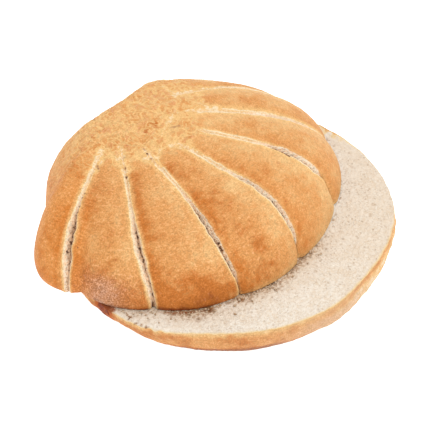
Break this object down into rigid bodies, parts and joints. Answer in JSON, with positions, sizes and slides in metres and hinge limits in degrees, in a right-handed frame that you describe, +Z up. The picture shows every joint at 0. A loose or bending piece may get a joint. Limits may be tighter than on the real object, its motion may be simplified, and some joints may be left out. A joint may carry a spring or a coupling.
{
  "type": "bread roll",
  "caption": "Bread roll in the form of a scallop shell with a scored golden crust, cut level in two, its top half slid back on the bottom half to show the pale crumb.",
  "frame": {"origin": "on the table, on the flat base under the middle of the bottom half", "axes": "+Z up; +Y towards the shell's hub and its straight back edge, so the fan's round edge faces -Y; +X to the right"},
  "size_m": [0.1698, 0.1574, 0.0501],
  "materials": {
    "crust": "matte baked crust, golden brown, a little flour on it",
    "crumb": "matte open crumb, cream, with fine pores"
  },
  "bodies": {
    "root": {"bottom_half": "crumb", "top_half": "crust"}
  },
  "joints": []
}
